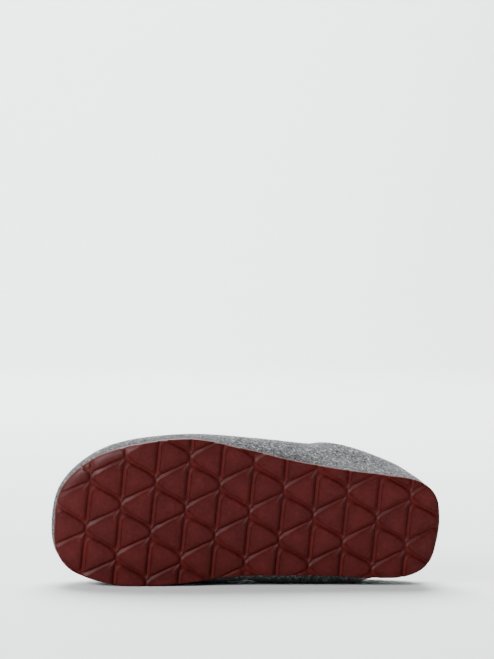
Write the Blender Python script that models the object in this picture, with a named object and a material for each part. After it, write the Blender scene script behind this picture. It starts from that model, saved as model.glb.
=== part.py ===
"""House slipper, a left shoe lying on its medial side: hollow felt upper, lugged rubber outsole, insole."""
import math

import bpy
import numpy as np
from mathutils import Euler, Matrix, Vector, geometry

# Sizes of the last, in metres
LENGTH = 0.265
BALL_WIDTH = 0.1035
INSTEP_HEIGHT = 0.084
HEEL_RIM_HEIGHT = 0.035

# Sole, insole and felt
SOLE_THICKNESS = 0.0066
TOE_SPRING = 0.0085
SPRING_START = 0.27
HEEL_LIFT = 0.0015
HEEL_LIFT_START = 0.91
SOLE_EDGE_ROUND = 0.0012
FELT_WALL = 0.0035
FELT_INSET = 0.0006
FELT_MARGIN = 0.0037
INSOLE_THICKNESS = 0.0055
HEEL_CUP_DEPTH = 0.0025
PIECE_GAP = 0.0003
INSOLE_CLEARANCE = 0.0009

# Tread: triangles between three families of grooves
LUG_PITCH_LONG = 0.0221
LUG_PITCH_WIDE = 0.0350
LUG_FIRST_FROM_TOE = 0.0231
LUG_ROW_OFFSET = 0.0209
LUG_LEAN = -0.0217
GROOVE_WIDTH = 0.0034
GROOVE_DEPTH = 0.00115
GROOVE_BEVEL = 0.0009
LUG_APEX_RADIUS = 0.0026
LUG_ROUND_RADIUS = 0.0036
LUG_SHARP_RADIUS = 0.0014
LUG_APEX_INSET = -0.0007

# How the shoe lies: its axis falls toward the heel, and its sole leans toward the viewer
LIE_TILT = math.radians(3.0)
LIE_LEAN = math.radians(2.5)

# Sections round the shoe from the toe along the lateral side to the heel and back.
# sole_at and collar_at are shares of the length from the toe, sole_y and collar_y are shares of half the
# ball width with lateral positive, collar_rise runs from heel rim (0) to instep (1). flare, in millimetres,
# and turn_up, a share of the wall's height, are the pull that bulges the wall over the sole edge.
COLUMNS = ("sole_at", "sole_y", "collar_at", "collar_y", "collar_rise", "flare", "turn_up")
SECTIONS = (
    ("toe tip", 0.0055, -0.290, 0.566, -0.06, 1.00, 14.2, 0.50),
    ("lateral toe corner", 0.016, 0.195, 0.568, 0.08, 0.99, 11.6, 0.50),
    ("lateral small toe", 0.077, 0.580, 0.576, 0.25, 0.96, 12.0, 0.50),
    ("lateral toe joint", 0.170, 0.825, 0.592, 0.43, 0.89, 11.2, 0.50),
    ("lateral ball", 0.332, 0.985, 0.617, 0.60, 0.78, 7.4, 0.50),
    ("lateral instep", 0.477, 0.895, 0.653, 0.79, 0.62, 13.8, 0.50),
    ("lateral waist", 0.604, 0.780, 0.698, 0.91, 0.44, 15.2, 0.50),
    ("lateral quarter", 0.730, 0.700, 0.755, 0.925, 0.27, 6.5, 0.50),
    ("lateral heel side", 0.840, 0.655, 0.838, 0.83, 0.15, 4.5, 0.50),
    ("lateral heel turn", 0.935, 0.605, 0.924, 0.665, 0.05, 2.5, 0.50),
    ("lateral heel corner", 0.989, 0.420, 0.981, 0.41, 0.01, 1.0, 0.50),
    ("heel back", 1.0055, 0.030, 0.999, 0.02, 0.00, 0.8, 0.50),
    ("medial heel corner", 0.987, -0.465, 0.978, -0.45, 0.01, 1.0, 0.50),
    ("medial heel turn", 0.930, -0.680, 0.920, -0.665, 0.05, 2.0, 0.45),
    ("medial heel side", 0.840, -0.732, 0.838, -0.785, 0.15, 7.5, 0.38),
    ("medial quarter", 0.730, -0.734, 0.755, -0.92, 0.27, 26.0, 0.25),
    ("medial waist", 0.604, -0.762, 0.698, -0.89, 0.44, 23.0, 0.32),
    ("medial instep", 0.477, -0.806, 0.651, -0.77, 0.62, 15.0, 0.42),
    ("medial ball", 0.325, -0.948, 0.614, -0.62, 0.78, 8.0, 0.50),
    ("medial toe joint", 0.190, -1.008, 0.590, -0.47, 0.89, 6.0, 0.50),
    ("medial big toe", 0.072, -0.893, 0.575, -0.33, 0.96, 4.5, 0.50),
    ("medial toe corner", 0.020, -0.660, 0.568, -0.20, 0.99, 10.6, 0.50),
)

# Shape of each wall rib between sole edge and collar
RIB_DROP = 0.36
RIB_LAY = 0.55
RIB_STEPS = 12
POINTS_PER_SECTION = 5

HALF_BALL = BALL_WIDTH / 2


def column(name):
    """All values of one column of the section table."""
    return np.array([row[1 + COLUMNS.index(name)] for row in SECTIONS])


def around(values, steps=POINTS_PER_SECTION):
    """A smooth closed run through one value for each section."""
    a, b, c, d = (np.roll(values, k)[:, None] for k in (1, 0, -1, -2))
    t = np.arange(steps)[None, :] / steps
    run = b + 0.5 * t * (c - a + t * (2 * a - 5 * b + 4 * c - d + t * (3 * (b - c) + d - a)))
    return run.ravel()


def along(share):
    """Own length coordinate, toe positive, for a share of the length from the toe."""
    return (0.5 - share) * LENGTH


def ground(x):
    """Height of the sole's underside over the floor: toe spring, flat tread and a lifted heel end."""
    share = 0.5 - np.asarray(x) / LENGTH
    toe = np.clip((SPRING_START - share) / SPRING_START, 0, None)
    heel = np.clip((share - HEEL_LIFT_START) / (1 - HEEL_LIFT_START), 0, None)
    return TOE_SPRING * toe ** 2.2 + HEEL_LIFT * heel ** 2


def sole_top(x):
    return ground(x) + SOLE_THICKNESS


def outward(loop):
    """Unit normals of a closed flat loop, pointing out."""
    step = np.roll(loop, -1, axis=0) - np.roll(loop, 1, axis=0)
    normal = np.stack([step[:, 1], -step[:, 0]], axis=1)
    normal /= np.linalg.norm(normal, axis=1)[:, None]
    x, y = loop.T
    area = np.sum(x * np.roll(y, -1) - np.roll(x, -1) * y)
    return normal if area > 0 else -normal


def sole_outline(inset=0.0):
    loop = np.stack([along(around(column("sole_at"))), around(column("sole_y")) * HALF_BALL], axis=1)
    return loop - inset * outward(loop)


def floor_height(points):
    """Height over the floor of points of the lying shoe, before it is set down on that floor."""
    turn = lie_turn()
    return np.asarray(points) @ np.array(turn[2])


def lie_turn():
    """Turn from the standing shoe to the shoe on its medial side, sole toward -Y and toe toward -X."""
    stand = Matrix(((-1, 0, 0), (0, 0, 1), (0, 1, 0)))
    return Euler((LIE_LEAN, LIE_TILT, 0)).to_matrix() @ stand


def upper_surface():
    """Outer face of the upper: rings from its margin on the sole, round the edge and up to the collar."""
    edge = sole_outline(FELT_INSET)
    out = outward(edge)
    foot = np.column_stack([edge, sole_top(edge[:, 0]) + PIECE_GAP])
    rise = around(column("collar_rise"))
    collar = np.column_stack([
        along(around(column("collar_at"))),
        around(column("collar_y")) * HALF_BALL,
        HEEL_RIM_HEIGHT + (INSTEP_HEIGHT - HEEL_RIM_HEIGHT) * rise,
    ])
    tall = (collar - foot)[:, 2]
    span = np.linalg.norm((collar - foot)[:, :2], axis=1)
    flare = around(column("flare")) / 1000
    low = foot + np.column_stack([out * flare[:, None], around(column("turn_up")) * tall])
    lay = RIB_LAY * np.sqrt(span / span.max())
    high = collar + np.column_stack([(foot - collar)[:, :2] * lay[:, None], -RIB_DROP * tall])
    margin = sole_outline(FELT_INSET + FELT_MARGIN)
    rings = [np.column_stack([margin, sole_top(margin[:, 0]) + PIECE_GAP])]
    for t in np.linspace(0, 1, RIB_STEPS + 1):
        near_sole = (1 - t) ** 3 * foot + 3 * t * (1 - t) ** 2 * low
        near_collar = 3 * t * t * (1 - t) * high + t ** 3 * collar
        rings.append(near_sole + near_collar)
    return np.array(rings)


def press_on_floor(points, floor):
    """Felt that would pass the floor of the lying shoe is pressed flat on it."""
    down = np.array(lie_turn()[2])
    short = np.clip(floor - points @ down, 0, None)
    return points + short[..., None] * down


def lug_frame():
    """Lattice steps of the tread: one column along the shoe and one row across it."""
    column_step = np.array([-LUG_PITCH_LONG, 0.0])
    row_step = np.array([-LUG_LEAN * LUG_PITCH_WIDE, -LUG_PITCH_WIDE])
    start = np.array([LENGTH / 2 - LUG_FIRST_FROM_TOE, LUG_ROW_OFFSET])
    return start, column_step, row_step


def lug_triangles():
    """Corners of every lug near the sole: two base corners, then the apex, which points to toe or heel."""
    start, column_step, row_step = lug_frame()
    triangles = []
    for k in range(-2, 13):
        for m in range(-2, 5):
            shift = 0.5 if k % 2 else 0.0
            node = start + k * column_step + (m - shift) * row_step
            ahead = node - column_step + 0.5 * row_step
            behind = node + column_step + 0.5 * row_step
            triangles.append((node + row_step, node, ahead))
            triangles.append((node, node + row_step, behind))
    return triangles


def lug_loop(corners, spread, arc_steps=3):
    """Outline of one lug, grown by a spread: close to the node at its apex, cut back at its base corners.

    The first base corner of a lug that points to the heel is widely rounded, the other base corners are not.
    """
    base, other, apex = (np.asarray(c) for c in corners)
    half, near, far = GROOVE_WIDTH / 2, LUG_APEX_INSET, GROOVE_WIDTH - LUG_APEX_INSET
    middle = (base + other + apex) / 3
    first_radius = LUG_ROUND_RADIUS if apex[0] < base[0] else LUG_SHARP_RADIUS
    radii = (first_radius, LUG_SHARP_RADIUS, LUG_APEX_RADIUS)
    sides = []
    runs = ((base, other, half, half), (other, apex, far, near), (apex, base, near, far))
    for a, b, inset_a, inset_b in runs:
        inward = np.array([b[1] - a[1], a[0] - b[0]]) / np.linalg.norm(b - a)
        inward = inward if inward @ (middle - a) > 0 else -inward
        a, b = a + inset_a * inward, b + inset_b * inward
        normal = np.array([b[1] - a[1], a[0] - b[0]]) / np.linalg.norm(b - a)
        normal = normal if normal @ inward > 0 else -normal
        sides.append((normal, normal @ a))
    loop = []
    for (n0, d0), (n1, d1), radius in zip(sides[-1:] + sides[:-1], sides, radii):
        centre = np.linalg.solve(np.array([n0, n1]), np.array([d0, d1]) + radius)
        first, last = math.atan2(-n0[1], -n0[0]), math.atan2(-n1[1], -n1[0])
        sweep = (last - first + math.pi) % (2 * math.pi) - math.pi
        for step in range(arc_steps + 1):
            angle = first + sweep * step / arc_steps
            loop.append(centre + (radius + spread) * np.array([math.cos(angle), math.sin(angle)]))
    return np.array(loop)


def beyond(points, loop):
    """Distance of points outside a convex loop, zero within it."""
    points = np.asarray(points)
    a, b = loop, np.roll(loop, -1, axis=0)
    side = b - a
    normal = np.stack([side[:, 1], -side[:, 0]], axis=1)
    normal /= np.linalg.norm(normal, axis=1)[:, None] + 1e-15
    x, y = loop.T
    if np.sum(x * np.roll(y, -1) - np.roll(x, -1) * y) < 0:
        normal = -normal
    gap = np.einsum("pij,ij->pi", points[:, None, :] - a[None], normal)
    return np.clip(gap.max(axis=1), 0, None)


def inside(points, loop):
    """Which points lie within a closed loop."""
    x, y = np.asarray(points).T
    hit = np.zeros(len(x), bool)
    for (x0, y0), (x1, y1) in zip(loop, np.roll(loop, -1, axis=0)):
        crosses = (y0 > y) != (y1 > y)
        hit ^= crosses & (x < (x1 - x0) * (y - y0) / (y1 - y0 + 1e-30) + x0)
    return hit


def sheet(border, loops, spacing):
    """Flat triangles over a border, with edges along the given loops and points every spacing inside."""
    low, high = border.min(axis=0), border.max(axis=0)
    xs = np.arange(low[0] + spacing / 2, high[0], spacing)
    ys = np.arange(low[1] + spacing / 2, high[1], spacing)
    grid = np.array([(x, y) for x in xs for y in ys])
    inner = border - spacing / 3 * outward(border)
    grid = grid[inside(grid, inner)]
    points, edges = [], []
    for loop in [border] + list(loops):
        first = len(points)
        points += [tuple(p) for p in loop]
        edges += [(first + k, first + (k + 1) % len(loop)) for k in range(len(loop))]
    if not loops:
        points += [tuple(p) for p in grid]
    found = geometry.delaunay_2d_cdt([Vector(p) for p in points], edges, [], 0, 1e-6)
    flat = np.array([tuple(v) for v in found[0]])
    faces = [f for f in found[2]]
    centres = np.array([flat[list(f)].mean(axis=0) for f in faces])
    keep = inside(centres, border)
    return flat, [list(f) for f, k in zip(faces, keep) if k]


def slab(border, low_height, top_height, loops=(), spacing=0.016):
    """One closed body between two height functions over a border, as vertices and faces."""
    flat, low_faces = sheet(border, loops, spacing)
    used = sorted({v for f in low_faces for v in f})
    place = {v: k for k, v in enumerate(used)}
    flat = flat[used]
    low_faces = [[place[v] for v in f] for f in low_faces]
    count = {}
    for f in low_faces:
        for a, b in zip(f, f[1:] + f[:1]):
            count[(a, b)] = 1
    rim = {a: b for a, b in count if (b, a) not in count}
    start = next(iter(rim))
    ring = [start]
    while rim[ring[-1]] != start:
        ring.append(rim[ring[-1]])
    top_flat, top_faces = sheet(flat[ring], (), spacing)
    verts = np.vstack([
        np.column_stack([flat, low_height(flat)]),
        np.column_stack([top_flat, top_height(top_flat)]),
    ])
    shift = len(flat)
    rim_top = [int(np.argmin(np.sum((top_flat - flat[v]) ** 2, axis=1))) + shift for v in ring]
    faces = [f[::-1] for f in low_faces] + [[v + shift for v in f] for f in top_faces]
    for k, v in enumerate(ring):
        n = (k + 1) % len(ring)
        faces.append([v, ring[n], rim_top[n], rim_top[k]])
    return verts, faces


def tread_height(flat, lugs, border):
    """Underside of the outsole: lug faces, bevelled grooves and a rounded edge."""
    depth = np.full(len(flat), GROOVE_BEVEL)
    for lug in lugs:
        depth = np.minimum(depth, beyond(flat, lug))
    edge = np.full(len(flat), np.inf)
    for a, b in zip(border, np.roll(border, -1, axis=0)):
        t = np.clip(((flat - a) @ (b - a)) / ((b - a) @ (b - a)), 0, 1)
        edge = np.minimum(edge, np.linalg.norm(flat - a - t[:, None] * (b - a), axis=1))
    lift = 0.6 * SOLE_EDGE_ROUND * np.clip(1 - edge / SOLE_EDGE_ROUND, 0, 1) ** 2
    return ground(flat[:, 0]) + GROOVE_DEPTH * depth / GROOVE_BEVEL + lift


def outsole_body():
    border = sole_outline()
    tops, loops = [], [sole_outline(SOLE_EDGE_ROUND)]
    for corners in lug_triangles():
        top = lug_loop(corners, 0.0)
        if inside(top, border).any():
            tops.append(top)
            loops += [top, lug_loop(corners, GROOVE_BEVEL)]
    return slab(border, lambda f: tread_height(f, tops, border), lambda f: sole_top(f[:, 0]), loops)


def insole_body():
    border = sole_outline(FELT_INSET + FELT_MARGIN + INSOLE_CLEARANCE)
    reach = np.abs(border[:, 1]).max()

    def under(flat):
        return sole_top(flat[:, 0]) + PIECE_GAP

    def over(flat):
        share = 0.5 - flat[:, 0] / LENGTH
        heel = np.clip((share - 0.45) / 0.25, 0, 1)
        cup = HEEL_CUP_DEPTH * heel * heel * (3 - 2 * heel) * (flat[:, 1] / (0.7 * reach)) ** 2
        return under(flat) + INSOLE_THICKNESS + cup

    return slab(border, under, over)


def make_object(name, verts, faces, colour, roughness, lie):
    mesh = bpy.data.meshes.new(name)
    mesh.from_pydata([tuple(v) for v in verts], [], [tuple(f) for f in faces])
    mesh.validate()
    material = bpy.data.materials.new(name)
    material.use_nodes = True
    shader = material.node_tree.nodes["Principled BSDF"]
    shader.inputs["Base Color"].default_value = (*colour, 1.0)
    shader.inputs["Roughness"].default_value = roughness
    mesh.materials.append(material)
    made = bpy.data.objects.new(name, mesh)
    bpy.context.scene.collection.objects.link(made)
    made.parent = lie
    return made


def main():
    for old in list(bpy.data.objects):
        bpy.data.objects.remove(old, do_unlink=True)
    lie = bpy.data.objects.new("lie", None)
    bpy.context.scene.collection.objects.link(lie)

    sole_verts, sole_faces = outsole_body()
    floor = floor_height(sole_verts).min()
    rings = press_on_floor(upper_surface(), floor)
    steps, points = rings.shape[:2]
    wall = []
    for low in range(0, (steps - 1) * points, points):
        for here in range(points):
            after = (here + 1) % points
            wall.append((low + here, low + after, low + points + after, low + points + here))
    insole_verts, insole_faces = insole_body()

    make_object("outsole", sole_verts, sole_faces, (0.09, 0.016, 0.015), 0.6, lie)
    upper = make_object("upper", rings.reshape(-1, 3), wall, (0.32, 0.32, 0.31), 0.95, lie)
    felt = upper.modifiers.new("felt wall", "SOLIDIFY")
    felt.thickness = FELT_WALL
    felt.offset = -1.0
    felt.use_even_offset = True
    felt.use_rim = True
    make_object("insole", insole_verts, insole_faces, (0.22, 0.21, 0.20), 0.95, lie)

    turn = lie_turn()
    placed = np.vstack([sole_verts, rings.reshape(-1, 3)]) @ np.array(turn).T
    low, high = placed.min(axis=0), placed.max(axis=0)
    middle = (low + high) / 2
    lie.matrix_world = Matrix.Translation((-middle[0], -middle[1], -low[2])) @ turn.to_4x4()


main()
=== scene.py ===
"""Looks of the house slipper: felt upper with seams and fibres, lugged rubber sole and felt insole."""
import math

import bpy
import numpy as np
from mathutils import Euler, Matrix, Vector, geometry


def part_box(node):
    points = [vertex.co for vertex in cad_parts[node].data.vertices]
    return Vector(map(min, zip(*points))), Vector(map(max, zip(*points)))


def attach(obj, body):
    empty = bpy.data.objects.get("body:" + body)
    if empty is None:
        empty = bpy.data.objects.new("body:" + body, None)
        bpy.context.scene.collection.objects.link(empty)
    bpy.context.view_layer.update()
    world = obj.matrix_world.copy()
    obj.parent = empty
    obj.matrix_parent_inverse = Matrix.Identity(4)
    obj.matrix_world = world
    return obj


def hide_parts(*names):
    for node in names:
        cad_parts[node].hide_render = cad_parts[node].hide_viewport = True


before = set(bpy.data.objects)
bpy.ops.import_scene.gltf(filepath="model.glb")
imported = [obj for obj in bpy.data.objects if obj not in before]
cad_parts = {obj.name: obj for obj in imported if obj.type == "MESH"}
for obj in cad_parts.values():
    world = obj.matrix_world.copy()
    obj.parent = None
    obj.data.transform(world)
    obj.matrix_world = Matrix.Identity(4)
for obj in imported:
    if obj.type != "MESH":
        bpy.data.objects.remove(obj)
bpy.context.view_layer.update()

# Millimetres in a metre
MILLIMETRES = 1000

# Sizes of the last, sole and felt, in metres, and shares of them, as in the part's source
LENGTH = 0.265
BALL_WIDTH = 0.1035
INSTEP_HEIGHT = 0.084
HEEL_RIM_HEIGHT = 0.035
SOLE_THICKNESS = 0.0066
TOE_SPRING = 0.0085
SPRING_START = 0.27
SPRING_POWER = 2.2
HEEL_LIFT = 0.0015
HEEL_LIFT_START = 0.91
SOLE_EDGE_ROUND = 0.0012
SOLE_EDGE_LIFT = 0.6
FELT_WALL = 0.0035
FELT_INSET = 0.0006
FELT_MARGIN = 0.0037
INSOLE_THICKNESS = 0.0055
HEEL_CUP_DEPTH = 0.0025
HEEL_CUP_START = 0.45
HEEL_CUP_FADE = 0.25
HEEL_CUP_WIDTH = 0.7
PIECE_GAP = 0.0003
INSOLE_CLEARANCE = 0.0009
RIB_DROP = 0.36
RIB_LAY = 0.55
LIE_TILT = math.radians(3.0)
LIE_LEAN = math.radians(2.5)
HALF_BALL = BALL_WIDTH / 2

# Tread lattice, as in the part's source
LUG_PITCH_LONG = 0.0221
LUG_PITCH_WIDE = 0.0350
LUG_FIRST_FROM_TOE = 0.0231
LUG_ROW_OFFSET = 0.0209
LUG_LEAN = -0.0217
GROOVE_WIDTH = 0.0034
GROOVE_DEPTH = 0.00115
LUG_APEX_RADIUS = 0.0026
LUG_ROUND_RADIUS = 0.0036
LUG_SHARP_RADIUS = 0.0014
LUG_APEX_INSET = -0.0007
LUG_COLUMNS = range(-2, 13)
LUG_ROWS = range(-2, 5)

# Finer tread, in metres, which the part's source doesn't have. Lugs: contour lines down their sides, the
# swell of one side near the apex, eased edges, a slight dome, and a mask that grows from edge to middle,
# which carries painted shade at the lug edges and painted sheen on the lug tops
LUG_CONTOURS = (-0.0016, -0.0010, -0.0006, -0.0003, 0.0, 0.0003, 0.0006, 0.0010, 0.0015, 0.0020)
LUG_GRID = 0.0026
LUG_REACH = 0.008
LUG_BULGE = 0.0014
LUG_SLOPE_IN = 0.0004
LUG_DOME = 0.00022
LUG_DOME_REACH = 0.006
LUG_MASK_REACH = 0.0065
LUG_MASK_AT_EDGE = 0.4

# The wide polished slope on the upper side of the apexes that point to the toe
APEX_SLOPE_IN = 0.0004
APEX_TURN = 0.003
APEX_REACH = 0.0135
APEX_FULL = 0.15

# Raised lips on the lug sides that face toe and medial side, given with toe and lateral positive
LIP_FACES = (0.62, -0.78)
LIP_HEIGHT = 0.0003
LIP_AT = 0.0002
LIP_WIDTH = 0.0006

# Low webs from sharp base corners to the nodes: their ends from the node, then mesh points in shares of
# their length and in widths to each side
WEBS = (((0.0004, -0.0042), (0.0031, -0.0078)), ((-0.0002, 0.0028), (-0.0014, 0.0046)))
WEB_HEIGHT = 0.0011
WEB_WIDTH = 0.00055
WEB_PROUD = 0.0003
WEB_SHALLOW = 0.0001
WEB_POLISH_WIDTH = 1.2
WEB_FROM_EDGE = 0.002
WEB_STATIONS = np.linspace(-0.15, 1.15, 9)
WEB_OFFSETS = (-1.8, -1.2, -0.7, -0.3, 0, 0.3, 0.7, 1.2, 1.8)

# Edge of the tread, which rolls up where it faces the lateral side of the toe
EDGE_CONTOURS = (0.00025, 0.0006, 0.0012)
ROLL_FACES = (0.5, 0.87)
ROLL_HEIGHT = 0.0021
ROLL_REACH = 0.0066
ROLL_FADE = (0.070, 0.092)

# Walls of sole and insole: share of the height, and how far the outline is drawn in there
SOLE_WALL = ((0.25, -0.0001), (0.55, -0.0001), (0.82, 0.0), (0.94, 0.00015), (1.0, 0.0005))
INSOLE_WALL = ((0.0, 0.0003), (0.08, 0.0), (0.6, 0.0), (0.85, 0.0003), (0.96, 0.0008), (1.0, 0.0016))

# Inner mesh points of the flat faces: their spacing, and their least distance from the rim
SOLE_TOP_GRID = (0.012, 0.005)
INSOLE_GRID = (0.006, 0.003)

# Sections round the shoe, as in the part's source: shares of the length from the toe, of half the ball width
# with lateral positive, and of the rise from heel rim to instep; flare in millimetres and turn_up as a share.
COLUMNS = ("sole_at", "sole_y", "collar_at", "collar_y", "collar_rise", "flare", "turn_up")
SECTIONS = (
    ("toe tip", 0.0055, -0.290, 0.566, -0.06, 1.00, 14.2, 0.50),
    ("lateral toe corner", 0.016, 0.195, 0.568, 0.08, 0.99, 11.6, 0.50),
    ("lateral small toe", 0.077, 0.580, 0.576, 0.25, 0.96, 12.0, 0.50),
    ("lateral toe joint", 0.170, 0.825, 0.592, 0.43, 0.89, 11.2, 0.50),
    ("lateral ball", 0.332, 0.985, 0.617, 0.60, 0.78, 7.4, 0.50),
    ("lateral instep", 0.477, 0.895, 0.653, 0.79, 0.62, 13.8, 0.50),
    ("lateral waist", 0.604, 0.780, 0.698, 0.91, 0.44, 15.2, 0.50),
    ("lateral quarter", 0.730, 0.700, 0.755, 0.925, 0.27, 6.5, 0.50),
    ("lateral heel side", 0.840, 0.655, 0.838, 0.83, 0.15, 4.5, 0.50),
    ("lateral heel turn", 0.935, 0.605, 0.924, 0.665, 0.05, 2.5, 0.50),
    ("lateral heel corner", 0.989, 0.420, 0.981, 0.41, 0.01, 1.0, 0.50),
    ("heel back", 1.0055, 0.030, 0.999, 0.02, 0.00, 0.8, 0.50),
    ("medial heel corner", 0.987, -0.465, 0.978, -0.45, 0.01, 1.0, 0.50),
    ("medial heel turn", 0.930, -0.680, 0.920, -0.665, 0.05, 2.0, 0.45),
    ("medial heel side", 0.840, -0.732, 0.838, -0.785, 0.15, 7.5, 0.38),
    ("medial quarter", 0.730, -0.734, 0.755, -0.92, 0.27, 26.0, 0.25),
    ("medial waist", 0.604, -0.762, 0.698, -0.89, 0.44, 23.0, 0.32),
    ("medial instep", 0.477, -0.806, 0.651, -0.77, 0.62, 15.0, 0.42),
    ("medial ball", 0.325, -0.948, 0.614, -0.62, 0.78, 8.0, 0.50),
    ("medial toe joint", 0.190, -1.008, 0.590, -0.47, 0.89, 6.0, 0.50),
    ("medial big toe", 0.072, -0.893, 0.575, -0.33, 0.96, 4.5, 0.50),
    ("medial toe corner", 0.020, -0.660, 0.568, -0.20, 0.99, 10.6, 0.50),
)

# Finer sampling of the same surfaces: rings of the felt lie closer together near the sole
SOLE_STEPS = 14
FELT_STEPS = 16
FELT_RINGS = 56
FELT_RING_POWER = 1.12
INNER_RINGS = 40

# Collar edge: angles from the outer to the inner face, and its roundness as a share of the wall
COLLAR_TURNS = np.radians((12, 40, 65, 90, 115, 140, 168))
COLLAR_ROUND = 0.45

# Side seams of the upper, in sections from the toe tip, and the trough that they pull into the felt
SEAM_AT = (4.90, 17.10)
SEAM_WIDTH = 0.0010
SEAM_DEPTH = 0.0006
SEAM_INSIDE = 0.3

# Stitches: where they start and end along a seam, the slant and arch of each, and the sides of its tube
STITCH_PITCH = 0.0034
STITCH_FROM_SOLE = 0.004
STITCH_FROM_COLLAR = 0.003
STITCH_OFF_FLOOR = 0.001
STITCH_REACH = 0.0012
STITCH_SLANT = 0.0009
STITCH_ARCH = (0.55, 0.35)
STITCH_DIVE = 0.0009
STITCH_DIVE_POWER = 6
STITCH_SUNK = 0.0002
STITCH_RADIUS = 0.00016
STITCH_RINGS = 7
STITCH_SIDES = 6

# Creases, in millimetres: name, face, first end, last end, width and depth. A depth under zero
# is a ridge. Ends are measured from the toe, and across on the top or up on a side
CREASES = (
    ("front flex fold", "top", 76, 30, 83, -38, 7.0, 0.9),
    ("rear flex fold", "top", 99, 34, 104, -36, 8.0, 1.1),
    ("instep hollow", "top", 128, 14, 137, -18, 13.0, 0.8),
    ("toe puff dimple", "top", 40, 4, 46, -16, 12.0, 0.5),
    ("lateral quarter sag", "lateral", 196, 26, 226, 20, 8.0, 0.5),
    ("medial quarter fold", "medial", 168, 44, 196, 30, 7.0, 0.9),
    ("medial heel sag", "medial", 214, 30, 238, 24, 7.0, 0.6),
    ("medial instep ridge", "medial", 104, 18, 134, 20, 13.0, -2.2),
)
CREASE_FACING = 2.0
CREASE_END_FADE = 0.5
CREASE_RIM = 0.35
CREASE_RIM_WIDTH = 2.2
CREASE_FROM_SOLE = 0.06

# Painted shade on the felt: how dark, and in metres how high over the floor or the sole's edge and how far
# from the toe
FLOOR_SHADE = 0.97
FLOOR_SHADE_HEIGHT = 0.012
FLOOR_SHADE_START = 0.055
FLOOR_SHADE_START_FADE = 0.03
FLOOR_SHADE_END = 0.228
FLOOR_SHADE_END_FADE = 0.02
EDGE_SHADE = 0.32
EDGE_SHADE_HEIGHT = 0.016

# Fibres that stand off the felt: how they stand, bend and lean, and the turn of the hairs matted in it
FIBRE_COUNT = 15000
FIBRE_LENGTH = (0.0006, 0.0016)
FIBRE_WIDTH = 0.00007
FIBRE_SEED = 11
FIBRE_OFF_FLOOR = 0.014
FIBRE_STAND = (0.05, 0.38)
FIBRE_BEND = 0.35
FIBRE_MIDDLE = 0.55
FIBRE_MIDDLE_LEAN = 0.8
FIBRE_TIP_LEAN = 0.9
FIBRE_TIP_STAND = 0.9
FIBRE_ROOT_DEPTH = 0.0001
FELT_LEAN = math.radians(72)

# Camera, in metres and degrees: it looks a little toward the heel and down, and the shoe is low in its frame
CAMERA_PLACE = (-0.2753, -2.0134, 0.2729)
CAMERA_HEADING = 7.845
CAMERA_PITCH = -2.777
CAMERA_ROLL = 0.951
CAMERA_LENS = 159.9
CAMERA_SENSOR = 36.0

# Light: where lights aim, the place of the key light, the beam on the backdrop and the dim light of the air
SHOE_MIDDLE = (0, 0, 0.05)
FLOOR_MIDDLE = (0, 0.2, 0)
BACKDROP = (0, 3.0, 2.0)
KEY_PLACE = (-1.70, -1.20, 1.10)
BACK_SPREAD = math.radians(75)
AIR_COLOUR = (0.97, 1.0, 0.99, 1.0)
AIR_STRENGTH = 0.07

# Guards against division by zero, corners without a radius and doubled points
TINY = 1e-15
FLAT_RISE = 1e-30
LEAST_GROOVE = 1e-9
LEAST_RADIUS = 1e-5
MERGE_DISTANCE = 1e-6

# Sockets of a mix node in colour mode, by number since their names repeat
MIX_FACTOR = 0
MIX_FIRST = 6
MIX_SECOND = 7
MIX_RESULT = 2


def column(name):
    """All values of one column of the section table."""
    return np.array([row[1 + COLUMNS.index(name)] for row in SECTIONS])


def around(values, steps):
    """A smooth closed run through one value for each section."""
    a, b, c, d = (np.roll(values, k)[:, None] for k in (1, 0, -1, -2))
    t = np.arange(steps)[None, :] / steps
    run = b + 0.5 * t * (c - a + t * (2 * a - 5 * b + 4 * c - d + t * (3 * (b - c) + d - a)))
    return run.ravel()


def along(share):
    """Own length coordinate, toe positive, for a share of the length from the toe."""
    return (0.5 - share) * LENGTH


def ground(x):
    """Height of the sole's underside: toe spring, flat tread and a lifted heel end."""
    share = 0.5 - np.asarray(x) / LENGTH
    toe = np.clip((SPRING_START - share) / SPRING_START, 0, None)
    heel = np.clip((share - HEEL_LIFT_START) / (1 - HEEL_LIFT_START), 0, None)
    return TOE_SPRING * toe ** SPRING_POWER + HEEL_LIFT * heel ** 2


def sole_top(x):
    """Height of the sole's upper face."""
    return ground(x) + SOLE_THICKNESS


def anticlockwise(loop):
    """Whether a closed flat loop runs anticlockwise."""
    x, y = loop.T
    return np.sum(x * np.roll(y, -1) - np.roll(x, -1) * y) > 0


def outward(loop):
    """Unit normals of a closed flat loop, pointing out."""
    step = np.roll(loop, -1, axis=0) - np.roll(loop, 1, axis=0)
    normal = np.stack([step[:, 1], -step[:, 0]], axis=1)
    normal /= np.linalg.norm(normal, axis=1)[:, None]
    return normal if anticlockwise(loop) else -normal


def sole_outline(inset=0.0, steps=SOLE_STEPS):
    """The sole's border, drawn in by an inset."""
    sole_at, sole_y = around(column("sole_at"), steps), around(column("sole_y"), steps)
    loop = np.stack([along(sole_at), sole_y * HALF_BALL], axis=1)
    return loop - inset * outward(loop)


def lie_turn():
    """Turn from the standing shoe to the shoe on its medial side, sole toward -Y and toe toward -X."""
    stand = Matrix(((-1, 0, 0), (0, 0, 1), (0, 1, 0)))
    return Euler((LIE_LEAN, LIE_TILT, 0)).to_matrix() @ stand


TURN = np.array(lie_turn())


def smooth_step(t):
    """From zero to one, level at both ends."""
    t = np.clip(t, 0, 1)
    return t * t * (3 - 2 * t)


def side_normals(loop):
    """Unit normals of the sides of a closed flat loop, pointing out."""
    side = np.roll(loop, -1, axis=0) - loop
    normal = np.stack([side[:, 1], -side[:, 0]], axis=1)
    normal /= np.linalg.norm(normal, axis=1)[:, None] + TINY
    return normal if anticlockwise(loop) else -normal


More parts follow.
